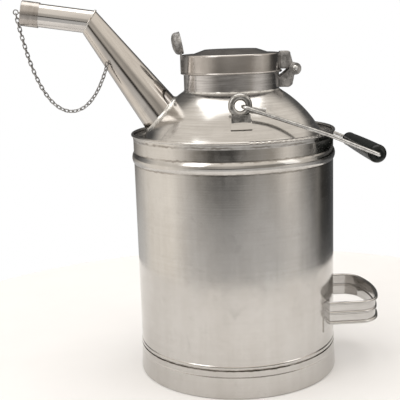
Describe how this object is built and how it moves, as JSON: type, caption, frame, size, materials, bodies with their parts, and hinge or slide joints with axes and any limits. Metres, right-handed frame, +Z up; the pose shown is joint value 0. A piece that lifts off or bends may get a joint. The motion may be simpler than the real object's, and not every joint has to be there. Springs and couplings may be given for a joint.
{
  "type": "filling can",
  "caption": "Cylindrical sheet-metal filling can with domed shoulder, hinged lid, pouring spout with chained cap, wire bail with grip, and a rear hand loop.",
  "frame": {"origin": "centre of the flat ring that the can stands on, on the body's axis", "axes": "+Z up along the body's axis; +X towards the hinge and the rear hand loop, so the spout points to -X; +Y along the bail's pivot axis"},
  "size_m": [0.3913, 0.2244, 0.4152],
  "materials": {
    "tinplate": "satin tinplate with faint rolling marks",
    "steel_wire": "drawn wire",
    "solder": "smooth soft solder",
    "cast_zinc": "rough cast, dull",
    "galvanised_steel": "galvanised, semi-bright",
    "bright_wire": "bright zinc plate",
    "nickel_chain": "bright nickel plate",
    "cap_metal": "smooth satin",
    "gasket_rubber": "matt",
    "black_plastic": "glossy moulding"
  },
  "bodies": {
    "can": {"body_shell": "tinplate", "rim_wire": "steel_wire", "bottom_plate": "tinplate", "foot_ring": "tinplate", "foot_wire": "steel_wire", "shoulder_dome": "tinplate", "shoulder_gutter": "tinplate", "filler_neck": "tinplate", "neck_solder": "solder", "hinge_neck_bracket": "cast_zinc", "hinge_pin": "bright_wire", "spout_lower_tube": "tinplate", "spout_upper_tube": "tinplate", "spout_base_solder": "solder", "chain_anchor_eye": "nickel_chain", "cap_chain": "nickel_chain", "ear_ring_left": "galvanised_steel", "ear_ring_right": "galvanised_steel", "ear_saddle_left": "galvanised_steel", "ear_saddle_right": "galvanised_steel", "rear_handle_strap": "tinplate", "rear_handle_wires": "steel_wire", "rear_handle_flanges": "tinplate"},
    "lid": {"lid_shell": "tinplate", "lid_edge_wire": "steel_wire", "lid_gasket": "gasket_rubber", "thumb_tab": "cast_zinc", "hinge_lid_bracket": "cast_zinc"},
    "cap": {"spout_cap": "cap_metal", "cap_seal": "gasket_rubber", "cap_eye": "nickel_chain"},
    "bail": {"bail_wire": "bright_wire"},
    "grip": {"bail_grip": "black_plastic"}
  },
  "joints": [
    {"name": "lid_hinge", "type": "hinge", "parent": "can", "child": "lid", "pos_m": [0.069, 0, 0.3345], "axis": [0, 1, 0], "range_deg": [0, 110]},
    {"name": "bail_swing", "type": "hinge", "parent": "can", "child": "bail", "pos_m": [0, 0, 0.3026], "axis": [0, -1, 0], "range_deg": [0, 155]},
    {"name": "grip_spin", "type": "hinge", "parent": "bail", "child": "grip", "pos_m": [0.14602, 0, 0.24507], "axis": [0, 1, 0], "continuous": true},
    {"name": "cap_pull", "type": "slide", "parent": "can", "child": "cap", "axis": [-0.9875, 0, 0.1576], "range_m": [0, 0.024], "deforming": ["cap_chain"]}
  ]
}
